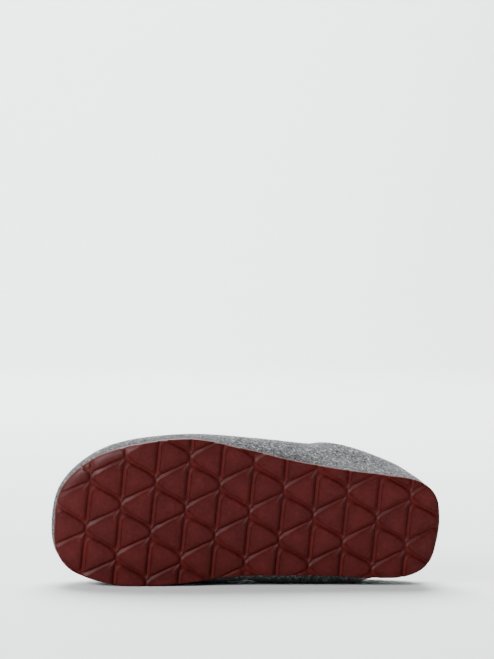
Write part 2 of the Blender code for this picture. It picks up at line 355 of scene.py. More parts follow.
def nearest_normal(points, loop):
    """Normal of the side of a loop, convex or nearly so, that each point is nearest to."""
    normal = side_normals(loop)
    gap = np.einsum("pij,ij->pi", points[:, None, :] - loop[None], normal)
    return normal[gap.argmax(axis=1)]


def inside(points, loop):
    """Which points lie within a closed loop."""
    x, y = np.asarray(points).T
    hit = np.zeros(len(x), bool)
    for (x0, y0), (x1, y1) in zip(loop, np.roll(loop, -1, axis=0)):
        crosses = (y0 > y) != (y1 > y)
        hit ^= crosses & (x < (x1 - x0) * (y - y0) / (y1 - y0 + FLAT_RISE) + x0)
    return hit


def beyond(points, loop):
    """Signed distance of points from a loop that is convex or nearly so, positive outside."""
    normal = side_normals(loop)
    gap = points @ normal.T - np.einsum("ij,ij->i", loop, normal)[None]
    return gap.max(axis=1)


def line_distance(points, a, b):
    """Distance of points from the straight line between two ends."""
    t = np.clip(((points - a) @ (b - a)) / ((b - a) @ (b - a)), 0, 1)
    return np.linalg.norm(points - a - t[:, None] * (b - a), axis=1)


def edge_distance(points, loop):
    """Distance of points from the nearest edge of a closed loop."""
    nearest = np.full(len(points), np.inf)
    for a, b in zip(loop, np.roll(loop, -1, axis=0)):
        nearest = np.minimum(nearest, line_distance(points, a, b))
    return nearest


def sheet(border, loops, spare=()):
    """Flat triangles over a border, with edges along the loops and corners at the spare points."""
    points, edges = [], []
    for loop in [border] + list(loops):
        first = len(points)
        points += [tuple(p) for p in loop]
        edges += [(first + k, first + (k + 1) % len(loop)) for k in range(len(loop))]
    points += [tuple(p) for p in spare]
    found = geometry.delaunay_2d_cdt([Vector(p) for p in points], edges, [], 0, MERGE_DISTANCE)
    flat, triangles = np.array([tuple(v) for v in found[0]]), found[2]
    centres = np.array([flat[list(f)].mean(axis=0) for f in triangles])
    faces = [list(f) for f, keep in zip(triangles, inside(centres, border)) if keep]
    used = sorted({v for f in faces for v in f})
    place = {v: k for k, v in enumerate(used)}
    return flat[used], [[place[v] for v in f] for f in faces]


def rim_of(faces):
    """The closed run of border vertices of a sheet."""
    sides = {(a, b) for f in faces for a, b in zip(f, f[1:] + f[:1])}
    after = {a: b for a, b in sides if (b, a) not in sides}
    ring = [next(iter(sorted(after)))]
    while after[ring[-1]] != ring[0]:
        ring.append(after[ring[-1]])
    return ring


def grid_points(border, spacing, margin):
    """Staggered points over a border, no nearer to it than a margin."""
    low, high = border.min(axis=0), border.max(axis=0)
    rows = np.arange(low[1], high[1], spacing * math.sqrt(3) / 2)
    points = [(x, y) for k, y in enumerate(rows)
              for x in np.arange(low[0] + (k % 2) * spacing / 2, high[0], spacing)]
    points = np.array(points).reshape(-1, 2)
    points = points[inside(points, border)]
    return points[edge_distance(points, border) > margin] if len(points) else points


def close_ring(rim, ring, grid, height, first):
    """Fresh vertices, numbered from first, and faces of the sheet that closes a ring of vertices."""
    flat, faces = sheet(rim, (), grid_points(rim, *grid))
    gap = np.linalg.norm(flat[:, None, :] - rim[None], axis=2)
    on_rim = gap.min(axis=1) < MERGE_DISTANCE
    fresh = flat[~on_rim]
    number = np.where(on_rim, np.array(ring)[gap.argmin(axis=1)], first + np.cumsum(~on_rim) - 1)
    return np.column_stack([fresh, height(fresh)]), [[int(number[v]) for v in f] for f in faces]


def lug_nodes():
    """Nodes of the tread lattice, where six lugs meet, and the steps to the next column and row."""
    column_step = np.array([-LUG_PITCH_LONG, 0.0])
    row_step = np.array([-LUG_LEAN * LUG_PITCH_WIDE, -LUG_PITCH_WIDE])
    start = np.array([LENGTH / 2 - LUG_FIRST_FROM_TOE, LUG_ROW_OFFSET])
    nodes = [start + k * column_step + (m - (0.5 if k % 2 else 0.0)) * row_step
             for k in LUG_COLUMNS for m in LUG_ROWS]
    return nodes, column_step, row_step


def lug_triangles():
    """Corners of every lug: two base corners, then the apex, which points to toe or heel."""
    nodes, column_step, row_step = lug_nodes()
    triangles = []
    for node in nodes:
        below = node + row_step
        triangles.append((below, node, node - column_step + 0.5 * row_step))
        triangles.append((node, below, node + column_step + 0.5 * row_step))
    return triangles


def lug_loop(corners, spread, arc_steps=7, side_steps=6):
    """Outline of one lug, grown by a spread.

    It is close to the node at its apex and cut back at its base corners, and its last side swells.
    """
    base, other, apex = (np.asarray(c) for c in corners)
    half, near, far = GROOVE_WIDTH / 2, LUG_APEX_INSET, GROOVE_WIDTH - LUG_APEX_INSET
    middle = (base + other + apex) / 3
    first_radius = LUG_ROUND_RADIUS if apex[0] < base[0] else LUG_SHARP_RADIUS
    radii = (first_radius, LUG_SHARP_RADIUS, LUG_APEX_RADIUS)
    sides = []
    runs = ((base, other, half, half), (other, apex, far, near), (apex, base, near, far))
    for a, b, inset_a, inset_b in runs:
        inward = np.array([b[1] - a[1], a[0] - b[0]]) / np.linalg.norm(b - a)
        inward = inward if inward @ (middle - a) > 0 else -inward
        a, b = a + inset_a * inward, b + inset_b * inward
        normal = np.array([b[1] - a[1], a[0] - b[0]]) / np.linalg.norm(b - a)
        normal = normal if normal @ inward > 0 else -normal
        sides.append((normal, normal @ a))
    arcs = []
    for (n0, d0), (n1, d1), radius in zip(sides[-1:] + sides[:-1], sides, radii):
        centre = np.linalg.solve(np.array([n0, n1]), np.array([d0, d1]) + radius)
        first, last = math.atan2(-n0[1], -n0[0]), math.atan2(-n1[1], -n1[0])
        sweep = (last - first + math.pi) % (2 * math.pi) - math.pi
        turn = first + sweep * np.arange(arc_steps + 1) / arc_steps
        spoke = np.column_stack([np.cos(turn), np.sin(turn)])
        arcs.append(centre + max(radius + spread, LEAST_RADIUS) * spoke)
    loop = []
    share = np.arange(1, side_steps)[:, None] / side_steps
    # The cubic in share peaks at 4 / 27, so the swell peaks at the bulge
    swell = LUG_BULGE * 27 / 4 * share * (1 - share) ** 2
    bulges = (0 * swell, 0 * swell, swell)
    for arc, following, (normal, _), bulge in zip(arcs, arcs[1:] + arcs[:1], sides, bulges):
        loop += [arc, arc[-1] + share * (following[0] - arc[-1]) - bulge * normal]
    return np.vstack(loop)


def web_ends(border):
    """Ends of the low webs at every node within a border, a long one and a short one."""
    ends = [(node + np.array(a), node + np.array(b)) for node in lug_nodes()[0] for a, b in WEBS]
    return [pair for pair in ends if inside(np.array(pair), border).all()]


def web_points(a, b):
    """Points along and across one web, for its mesh."""
    side = np.array([a[1] - b[1], b[0] - a[0]]) / np.linalg.norm(b - a)
    return np.array([a + t * (b - a) + offset * WEB_WIDTH * side
                     for t in WEB_STATIONS for offset in WEB_OFFSETS])


def apex_slope(flat, base, apex):
    """How much of the wide slope each point has, on the upper side of an apex that points to the toe."""
    if apex[0] < base[0]:
        return np.zeros(len(flat))
    to_apex = np.linalg.norm(flat - apex, axis=1)
    upper = smooth_step(0.5 + (flat - apex)[:, 1] / APEX_TURN)
    return smooth_step(1 + APEX_FULL - to_apex / APEX_REACH) * upper


def edge_roll(flat, border):
    """How much the tread rolls up at each point: one on the border that faces the lateral side of the toe."""
    facing = np.clip(outward(border) @ np.array(ROLL_FACES), 0, 1) ** 2
    nearest, share = np.full(len(flat), np.inf), np.zeros(len(flat))
    for point, weight in zip(border, facing):
        gap = np.linalg.norm(flat - point, axis=1)
        share = np.where(gap < nearest, weight, share)
        nearest = np.minimum(nearest, gap)
    toe = smooth_step((flat[:, 0] - ROLL_FADE[0]) / (ROLL_FADE[1] - ROLL_FADE[0]))
    return toe * share * np.clip(1 - edge_distance(flat, border) / ROLL_REACH, 0, 1)


def tread_height(flat, lugs, webs, border):
    """Underside of the sole, how far each point is inside its lug, and how polished it is.

    Lugs are slightly domed. Grooves are V-shaped, deepest midway between two lugs, with an eased upper edge.
    """
    first, second = np.full(len(flat), np.inf), np.full(len(flat), np.inf)
    dome, depth_in, soft = np.zeros(len(flat)), np.zeros(len(flat)), np.zeros(len(flat))
    mask_steps = (-GROOVE_WIDTH / 2, LUG_SLOPE_IN, LUG_MASK_REACH)
    for loop, (base, _, apex) in lugs:
        gap = beyond(flat, loop)
        wide = apex_slope(flat, base, apex)
        away = np.clip(gap + LUG_SLOPE_IN + APEX_SLOPE_IN * wide, 0, None)
        soft = np.where(away < first, wide, soft)
        second = np.minimum(second, np.maximum(first, away))
        first = np.minimum(first, away)
        dome = np.maximum(dome, LUG_DOME * smooth_step(-gap / LUG_DOME_REACH))
        facing = np.clip(nearest_normal(flat, loop) @ np.array(LIP_FACES), 0, 1) * (1 - wide)
        lip = smooth_step(facing * 2) * np.exp(-((gap - LIP_AT) / LIP_WIDTH) ** 2)
        dome = np.maximum(dome, LIP_HEIGHT * lip)
        depth_in = np.maximum(depth_in, np.interp(-gap, mask_steps, (0, LUG_MASK_AT_EDGE, 1)))
    share = np.clip(2 * first / (first + second + LEAST_GROOVE), 0, 1)
    eased = share ** 2 * (3 - share) / 2
    fall = GROOVE_DEPTH * (eased + soft * (share - eased)) - dome
    depth_in = np.where(first > 0, depth_in * (1 - soft), depth_in)
    polish = np.where(first > 0, soft, 0.0)
    for a, b in webs:
        away = line_distance(flat, a, b) / WEB_WIDTH
        ridge = np.exp(-away ** 2)
        crest = np.minimum(fall, WEB_SHALLOW) - WEB_PROUD * ridge
        fall = np.maximum(fall - WEB_HEIGHT * ridge, crest)
        polish = np.maximum(polish, np.exp(-(away / WEB_POLISH_WIDTH) ** 2))
    roll = edge_roll(flat, border)
    polish = np.maximum(polish, smooth_step(roll * 2))
    edge = np.clip(1 - edge_distance(flat, border) / SOLE_EDGE_ROUND, 0, 1)
    lift = SOLE_EDGE_LIFT * SOLE_EDGE_ROUND * edge ** 2
    return ground(flat[:, 0]) + fall + lift + ROLL_HEIGHT * roll ** 2, depth_in, polish


def outsole_mesh():
    """Closed sole: dressed tread, side wall with eased edges and a plain top."""
    border = sole_outline()
    loops, tops, spare = [sole_outline(e) for e in EDGE_CONTOURS], [], []
    for corners in lug_triangles():
        top = lug_loop(corners, 0.0)
        if inside(lug_loop(corners, LUG_REACH), border).any():
            tops.append((top, corners))
        if not inside(top, border).any():
            continue
        loops += [lug_loop(corners, spread) for spread in LUG_CONTOURS]
        spare.append(grid_points(lug_loop(corners, LUG_CONTOURS[0]), LUG_GRID, LUG_GRID / 2))
    webs = web_ends(sole_outline(WEB_FROM_EDGE))
    spare += [web_points(a, b) for a, b in webs]
    spare = np.vstack(spare)
    spare = spare[inside(spare, sole_outline(EDGE_CONTOURS[-1] + LUG_GRID / 3))]
    flat, low_faces = sheet(border, loops, spare)
    height, depth_in, polish = tread_height(flat, tops, webs, border)
    low = np.column_stack([flat, height])
    ring = rim_of(low_faces)
    foot = low[ring]
    out = outward(foot[:, :2])
    top_z = sole_top(foot[:, 0])
    verts, faces = [low], [f[::-1] for f in low_faces]
    first, before = len(low), ring
    for share, draw_in in SOLE_WALL:
        level = foot.copy()
        level[:, :2] -= draw_in * out
        level[:, 2] += share * (top_z - foot[:, 2])
        verts.append(level)
        here = list(range(first, first + len(ring)))
        faces += [[before[k], before[k - 1], here[k - 1], here[k]][::-1] for k in range(len(ring))]
        first, before = first + len(ring), here
    rim = verts[-1][:, :2]
    top, top_faces = close_ring(rim, before, SOLE_TOP_GRID, lambda inner: sole_top(inner[:, 0]), first)
    faces += top_faces
    verts = np.vstack(verts + [top])
    rest = np.zeros(len(verts) - len(flat))
    return verts, faces, np.concatenate([depth_in, rest]), np.concatenate([polish, rest])


def insole_mesh():
    """Closed footbed with a cupped heel and a rounded top edge."""
    border = sole_outline(FELT_INSET + FELT_MARGIN + INSOLE_CLEARANCE)
    reach = np.abs(border[:, 1]).max()

    def under(flat):
        return sole_top(flat[:, 0]) + PIECE_GAP

    def over(flat):
        share = 0.5 - flat[:, 0] / LENGTH
        heel = smooth_step((share - HEEL_CUP_START) / HEEL_CUP_FADE)
        cup = HEEL_CUP_DEPTH * heel * (flat[:, 1] / (HEEL_CUP_WIDTH * reach)) ** 2
        return under(flat) + INSOLE_THICKNESS + cup

    out, low = outward(border), under(border)
    levels = []
    for share, draw_in in INSOLE_WALL:
        flat = border - draw_in * out
        levels.append(np.column_stack([flat, low + share * (over(flat) - low)]))
    count, faces = len(border), []
    for k in range(len(levels) - 1):
        for j in range(count):
            n = (j + 1) % count
            faces.append([k * count + j, k * count + n, (k + 1) * count + n, (k + 1) * count + j])
    first = len(levels) * count
    top, top_faces = close_ring(levels[-1][:, :2], range(first - count, first), INSOLE_GRID, over, first)
    first += len(top)
    bottom, bottom_faces = close_ring(levels[0][:, :2], range(count), INSOLE_GRID, under, first)
    faces += top_faces + [f[::-1] for f in bottom_faces]
    return np.vstack(levels + [top, bottom]), faces


def wall_rings(levels, steps=FELT_STEPS):
    """Outer face of the upper as rings from the sole edge to the collar."""
    edge = sole_outline(FELT_INSET, steps)
    out = outward(edge)
    foot = np.column_stack([edge, sole_top(edge[:, 0]) + PIECE_GAP])
    rise = around(column("collar_rise"), steps)
    collar = np.column_stack([
        along(around(column("collar_at"), steps)),
        around(column("collar_y"), steps) * HALF_BALL,
        HEEL_RIM_HEIGHT + (INSTEP_HEIGHT - HEEL_RIM_HEIGHT) * rise,
    ])
    tall = (collar - foot)[:, 2]
    span = np.linalg.norm((collar - foot)[:, :2], axis=1)
    flare = around(column("flare"), steps) / MILLIMETRES
    low = foot + np.column_stack([out * flare[:, None], around(column("turn_up"), steps) * tall])
    lay = RIB_LAY * np.sqrt(span / span.max())
    high = collar + np.column_stack([(foot - collar)[:, :2] * lay[:, None], -RIB_DROP * tall])
    rings = []
    for t in levels:
        near_sole = (1 - t) ** 3 * foot + 3 * t * (1 - t) ** 2 * low
        near_collar = 3 * t * t * (1 - t) * high + t ** 3 * collar
        rings.append(near_sole + near_collar)
    return np.array(rings)


def ring_normals(rings):
    """Outward unit normals of a closed band of rings."""
    across = np.gradient(rings, axis=0)
    ahead = np.roll(rings, -1, axis=1) - np.roll(rings, 1, axis=1)
    normal = np.cross(across, ahead)
    normal /= np.linalg.norm(normal, axis=2)[..., None] + TINY
    middle = rings.reshape(-1, 3).mean(axis=0)
    return normal if np.sum(normal * (rings - middle)) > 0 else -normal


def press_on_floor(points, floor):
    """Felt that would pass the floor of the lying shoe is pressed flat on it."""
    short = np.clip(floor - points @ TURN[2], 0, None)
    return points + short[..., None] * TURN[2]


def crease_depth(rings, normal):
    """How far the listed creases sink into the felt at each point."""
    x, y, z = (rings[..., k] * MILLIMETRES for k in range(3))
    from_toe = LENGTH / 2 * MILLIMETRES - x
    sink = np.zeros(rings.shape[:2])
    for _, face, a0, b0, a1, b1, width, depth in CREASES:
        if face == "top":
            other, facing = y, normal[..., 2]
        else:
            other, facing = z, normal[..., 1] * (1 if face == "lateral" else -1)
        run = np.array([a1 - a0, b1 - b0], float)
        share = ((from_toe - a0) * run[0] + (other - b0) * run[1]) / (run @ run)
        near = np.clip(share, 0, 1)
        gap = np.hypot(from_toe - a0 - near * run[0], other - b0 - near * run[1]) / width
        fade = np.clip(1 - CREASE_END_FADE * np.abs(2 * share - 1) ** 4, 0, 1)
        trough = (1 + CREASE_RIM) * np.exp(-gap ** 2) - CREASE_RIM * np.exp(-(gap / CREASE_RIM_WIDTH) ** 2)
        sink += depth / MILLIMETRES * np.clip(facing * CREASE_FACING, 0, 1) * fade * trough
    return sink


def seam_mask(rings):
    """One along the side seams and zero away from them."""
    mask = np.zeros(rings.shape[:2])
    for at in SEAM_AT:
        line = seam_points(rings, at)
        gap = np.linalg.norm(rings - line[:, None, :], axis=2)
        mask = np.maximum(mask, np.exp(-(gap / SEAM_WIDTH) ** 2))
    return mask


def seam_points(rings, at):
    """Points of the rings under one side seam."""
    count = rings.shape[1]
    place = at * count / len(SECTIONS)
    first = int(place) % count
    share = place - int(place)
    return rings[:, first] * (1 - share) + rings[:, (first + 1) % count] * share


def upper_rings(floor):
    """Outer face of the felt with its seams and creases, pressed on the floor, and the mask of the seams."""
    levels = np.linspace(0, 1, FELT_RINGS + 1) ** FELT_RING_POWER
    plain = wall_rings(levels)
    normal = ring_normals(plain)
    seam = seam_mask(plain)
    ends = smooth_step(levels / CREASE_FROM_SOLE)[:, None]
    sink = (SEAM_DEPTH * seam + crease_depth(plain, normal)) * ends
    return press_on_floor(plain - sink[..., None] * normal, floor), seam


def felt_shade(rings, floor):
    """How much painted shade each point of the felt gets, near the floor between toe and heel and near the
    sole's edge.
    """
    from_toe = LENGTH / 2 - rings[..., 0]
    start = smooth_step((from_toe - FLOOR_SHADE_START) / FLOOR_SHADE_START_FADE)
    end = smooth_step((FLOOR_SHADE_END - from_toe) / FLOOR_SHADE_END_FADE)
    low = FLOOR_SHADE * smooth_step(1 - (rings @ TURN[2] - floor) / FLOOR_SHADE_HEIGHT) * start * end
    edge = EDGE_SHADE * smooth_step(1 - (rings[..., 2] - sole_top(rings[..., 0])) / EDGE_SHADE_HEIGHT)
    return np.maximum(low, edge)


def upper_mesh(floor):
    """Closed felt wall: outer face, rounded collar edge, inner face and the margin glued on the sole."""
    outer, seam = upper_rings(floor)
    normal = ring_normals(outer)
    inner = outer - FELT_WALL * normal
    up = outer[-1] - outer[-2]
    up /= np.linalg.norm(up, axis=1)[:, None]
    rings, masks = list(outer[:-1]), list(seam[:-1])
    middle = (outer[-1] + inner[-1]) / 2
    for turn in COLLAR_TURNS:
        across = (outer[-1] - inner[-1]) / 2 * math.cos(turn)
        rings.append(middle + across + up * (math.sin(turn) - 1) * COLLAR_ROUND * FELT_WALL)
        masks.append(seam[-1] * SEAM_INSIDE)
    picked = np.unique(np.linspace(1, FELT_RINGS - 1, INNER_RINGS).astype(int))[::-1]
    for k in picked:
        rings.append(inner[k])
        masks.append(seam[k] * SEAM_INSIDE)
    margin = sole_outline(FELT_INSET + FELT_MARGIN, FELT_STEPS)
    rings.append(np.column_stack([margin, sole_top(margin[:, 0]) + PIECE_GAP]))
    masks.append(seam[0] * 0)
    rings = press_on_floor(np.array(rings), floor)
    steps, count = rings.shape[:2]
    faces = []
    for k in range(steps):
        n = (k + 1) % steps
        for j in range(count):
            m = (j + 1) % count
            faces.append((k * count + j, k * count + m, n * count + m, n * count + j))
    # The mask holds the dark seams and the painted shade near the floor and the sole's edge
    return rings.reshape(-1, 3), faces, np.maximum(np.array(masks), felt_shade(rings, floor)).ravel()


def fibre_mesh(floor):
    """Short bent fibres over the outer face of the felt, clear of the floor."""
    rng = np.random.default_rng(FIBRE_SEED)
    rings, _ = upper_rings(floor)
    normal = ring_normals(rings)
    a = rings[:-1]
    b, c = np.roll(rings, -1, axis=1)[:-1], rings[1:]
    area = np.linalg.norm(np.cross(b - a, c - a), axis=2).ravel()
    pick = rng.choice(len(area), FIBRE_COUNT, p=area / area.sum())
    row, place = np.unravel_index(pick, a.shape[:2])
    s, t = rng.random((2, FIBRE_COUNT, 1))
    root = a[row, place] + s * (b - a)[row, place] + t * (c - a)[row, place]
    lift = normal[row, place]
    lean = rng.normal(size=(FIBRE_COUNT, 3))
    lean -= np.sum(lean * lift, axis=1)[:, None] * lift
    lean /= np.linalg.norm(lean, axis=1)[:, None]
    length = rng.uniform(*FIBRE_LENGTH, (FIBRE_COUNT, 1))
    stand = rng.uniform(*FIBRE_STAND, (FIBRE_COUNT, 1))
    side = np.cross(lift, lean) * FIBRE_WIDTH / 2
    bend = np.cross(lift, lean) * rng.normal(0, FIBRE_BEND, (FIBRE_COUNT, 1))
    middle = root + length * FIBRE_MIDDLE * (lean * FIBRE_MIDDLE_LEAN + lift * stand)
    tip = root + length * (lean * FIBRE_TIP_LEAN + bend + lift * stand * FIBRE_TIP_STAND)
    root = root - lift * FIBRE_ROOT_DEPTH
    keep = (tip @ TURN[2] > floor + FIBRE_OFF_FLOOR) & (root @ TURN[2] > floor + FIBRE_OFF_FLOOR)
    parts = [p[keep] for p in (root - side, root + side, middle + side, middle - side, tip)]
    tone = np.repeat(rng.random(keep.sum()), len(parts))
    verts = np.stack(parts, axis=1).reshape(-1, 3)
    faces = []
    for k in range(0, len(verts), len(parts)):
        faces += [(k, k + 1, k + 2, k + 3), (k + 3, k + 2, k + 4)]
    return verts, faces, tone


def stitch_tube(centre, across, ahead, lift):
    """Vertices of one stitch: rings along a slanted arch over the seam, with its ends down in the felt."""
    middle, rise = STITCH_ARCH
    verts = []
    for share in np.linspace(-1, 1, STITCH_RINGS):
        slant = across * STITCH_REACH * share + ahead * STITCH_SLANT * share
        arch = SEAM_DEPTH * (middle + rise * share ** 2) - STITCH_DIVE * share ** STITCH_DIVE_POWER
        hub = centre + slant + lift * (arch - STITCH_SUNK)
        for turn in np.arange(STITCH_SIDES) * 2 * math.pi / STITCH_SIDES:
            verts.append(hub + STITCH_RADIUS * (lift * math.cos(turn) + ahead * math.sin(turn)))
    return verts


def tube_faces(first):
    """Faces of one stitch whose vertices are numbered from first."""
    faces = []
    for low in range(first, first + (STITCH_RINGS - 1) * STITCH_SIDES, STITCH_SIDES):
        high = low + STITCH_SIDES
        for j in range(STITCH_SIDES):
            n = (j + 1) % STITCH_SIDES
            faces.append((low + j, low + n, high + n, high + j))
    caps = [tuple(range(first + STITCH_SIDES - 1, first - 1, -1)), tuple(range(high, high + STITCH_SIDES))]
    return faces + caps


def stitch_mesh(floor):
    """Short thread stitches across both side seams, each a small bent tube sunk in the felt."""
    rings, _ = upper_rings(floor)
    normal = ring_normals(rings)
    verts, faces = [], []
    for at in SEAM_AT:
        line, out = seam_points(rings, at), seam_points(normal, at)
        run = np.concatenate([[0], np.cumsum(np.linalg.norm(np.diff(line, axis=0), axis=1))])
        spots = np.arange(STITCH_FROM_SOLE, run[-1] - STITCH_FROM_COLLAR, STITCH_PITCH)
        centre = np.column_stack([np.interp(spots, run, line[:, k]) for k in range(3)])
        lift = np.column_stack([np.interp(spots, run, out[:, k]) for k in range(3)])
        lift /= np.linalg.norm(lift, axis=1)[:, None]
        ahead = np.gradient(centre, axis=0)
        ahead /= np.linalg.norm(ahead, axis=1)[:, None]
        across = np.cross(lift, ahead)
        for k in range(len(spots)):
            if centre[k] @ TURN[2] > floor + STITCH_OFF_FLOOR:
                faces += tube_faces(len(verts))
                verts += stitch_tube(centre[k], across[k], ahead[k], lift[k])
    return np.array(verts), faces


def make_piece(name, verts, faces, place, material, mask=None, polish=None):
    """A smooth-shaded piece in the row frame, riding on the shoe's one body."""
    mesh = bpy.data.meshes.new(name)
    placed = verts @ TURN.T + place
    mesh.from_pydata([tuple(v) for v in placed], [], [tuple(f) for f in faces])
    mesh.validate()
    mesh.shade_smooth()
    for kind, values in (("mask", mask), ("polish", polish)):
        if values is not None:
            layer = mesh.attributes.new(kind, "FLOAT", "POINT")
            layer.data.foreach_set("value", np.asarray(values, np.float32))
    mesh.materials.append(material)
    piece = bpy.data.objects.new(name, mesh)
    bpy.context.scene.collection.objects.link(piece)
    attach(piece, "root")
    return piece


class Shader:
    """Short names for the nodes of one procedural material."""

    def __init__(self, name):
        self.material = bpy.data.materials.new(name)
        self.material.use_nodes = True
        self.tree = self.material.node_tree
        self.main = self.tree.nodes["Principled BSDF"]
        self.place = self.node("ShaderNodeTexCoord").outputs["Object"]

    def node(self, kind, **values):
        """A new node with some of its settings."""
        made = self.tree.nodes.new(kind)
        for key, value in values.items():
            setattr(made, key, value)
        return made

    def link(self, start, end):
        self.tree.links.new(start, end)

    def noise(self, scale, detail=2.0, rough=0.5, stretch=None, lean=0.0):
        """Value of a noise, drawn out along the axes and turned about the last of them."""
        made = self.node("ShaderNodeTexNoise")
        made.inputs["Scale"].default_value = scale
        made.inputs["Detail"].default_value = detail
        made.inputs["Roughness"].default_value = rough
        place = self.place
        if stretch:
            mapping = self.node("ShaderNodeMapping", vector_type="TEXTURE")
            mapping.inputs["Scale"].default_value = stretch
            mapping.inputs["Rotation"].default_value = (0.0, 0.0, lean)
            self.link(place, mapping.inputs["Vector"])
            place = mapping.outputs["Vector"]
        self.link(place, made.inputs["Vector"])
        return made.outputs["Fac"]

    def ramp(self, value, *stops):
        """Colour for a value, from stops of a position and a colour each."""
        made = self.node("ShaderNodeValToRGB")
        strip = made.color_ramp.elements
        while len(strip) < len(stops):
            strip.new(0.5)
        for element, (at, colour) in zip(strip, stops):
            element.position = at
            element.color = (*colour, 1.0)
        self.link(value, made.inputs["Fac"])
        return made.outputs["Color"]

    def mix(self, factor, first, second, blend="MIX"):
        """Blend of two colours, each a socket or a fixed colour."""
        made = self.node("ShaderNodeMix", data_type="RGBA", blend_type=blend)
        for number, value in ((MIX_FACTOR, factor), (MIX_FIRST, first), (MIX_SECOND, second)):
            socket = made.inputs[number]
            if hasattr(value, "is_linked"):
                self.link(value, socket)
            else:
                socket.default_value = value if isinstance(value, float) else (*value, 1.0)
        return made.outputs[MIX_RESULT]

    def mask(self, kind="mask"):
        """Value that the mesh holds for each vertex."""
        return self.node("ShaderNodeAttribute", attribute_name=kind).outputs["Fac"]

    def bump(self, height, strength, distance, before=None):
        """Normal of a rough surface, on top of the one before."""
        made = self.node("ShaderNodeBump")
        made.inputs["Strength"].default_value = strength
        made.inputs["Distance"].default_value = distance
        self.link(height, made.inputs["Height"])
        if before is not None:
            self.link(before, made.inputs["Normal"])
        return made.outputs["Normal"]

    def set(self, **values):
        """Fixed inputs of the main shader, with underscores for the spaces in their names."""
        for key, value in values.items():
            self.main.inputs[key.replace("_", " ")].default_value = value


def grey(value, warm=0.0):
    """A grey that is a little warm, or a little cool where warm is under zero."""
    return (value * (1 + warm / 2), value, value * (1 - warm))


def felt_material(name, dark, middle, light, warm, fine=1.0):
    """Mixed wool felt: light and dark flecks, matted hairs, soft clumps and clouds, and a mask that darkens
    the seams and paints shade near the floor and the sole's edge.
    """
    felt = Shader(name)
    fleck = felt.noise(scale=590 * fine, detail=4.0, rough=0.65)
    colour = felt.ramp(fleck, (0.36, grey(dark, warm)), (0.47, grey(middle * 0.82, warm)),
                       (0.55, grey(middle * 1.08, warm)), (0.67, grey(light, warm)))
    hair = felt.noise(scale=500 * fine, stretch=(3.2, 0.7, 0.75), lean=FELT_LEAN)
    streak = felt.ramp(hair, (0.38, (0.80, 0.80, 0.81)), (0.55, (1.0, 1.0, 1.0)), (0.70, (1.16, 1.16, 1.15)))
    colour = felt.mix(0.8, colour, streak, "MULTIPLY")
    clump = felt.ramp(felt.noise(scale=150), (0.35, grey(0.86)), (0.65, grey(1.12)))
    colour = felt.mix(1.0, colour, clump, "MULTIPLY")
    cloud = felt.ramp(felt.noise(scale=48), (0.35, (0.90, 0.90, 0.91)), (0.65, (1.06, 1.06, 1.05)))
    colour = felt.mix(1.0, colour, cloud, "MULTIPLY")
    # Near-black from the mask: dark seams, and painted shade near the floor and the sole's edge
    colour = felt.mix(felt.mask(), colour, grey(0.003, warm))
    felt.link(colour, felt.main.inputs["Base Color"])
    nap = felt.noise(scale=900 * fine, detail=4.0, rough=0.7)
    matted = felt.bump(nap, strength=0.75, distance=0.0006)
    felt.link(felt.bump(hair, strength=0.5, distance=0.0005, before=matted), felt.main.inputs["Normal"])
    felt.link(felt.ramp(fleck, (0.3, grey(0.98)), (0.7, grey(0.86))), felt.main.inputs["Roughness"])
    felt.set(Specular_IOR_Level=0.10, Sheen_Weight=0.14, Sheen_Roughness=0.5)
    return felt.material


def fibre_material():
    """Single wool fibres, each of its own grey."""
    wool = Shader("wool_fibre")
    tone = wool.ramp(wool.mask(), (0.0, grey(0.03)), (0.5, grey(0.14)), (1.0, grey(0.42)))
    wisp = wool.ramp(wool.noise(scale=900), (0.4, grey(0.85)), (0.6, grey(1.0)))
    wool.link(wool.mix(1.0, tone, wisp, "MULTIPLY"), wool.main.inputs["Base Color"])
    wool.link(wool.ramp(wool.mask(), (0.0, grey(0.8)), (1.0, grey(0.65))), wool.main.inputs["Roughness"])
    wool.set(Specular_IOR_Level=0.2)
    return wool.material


def thread_material():
    """Twisted dark grey thread."""
    thread = Shader("seam_thread")
    twist = thread.noise(scale=2600, detail=1.0, stretch=(1.0, 1.0, 3.3))
    thread.link(thread.ramp(twist, (0.4, grey(0.045)), (0.6, grey(0.11))), thread.main.inputs["Base Color"])
    thread.link(thread.bump(twist, strength=0.6, distance=0.0002), thread.main.inputs["Normal"])
    thread.link(thread.ramp(twist, (0.4, grey(0.9)), (0.6, grey(0.7))), thread.main.inputs["Roughness"])
    return thread.material


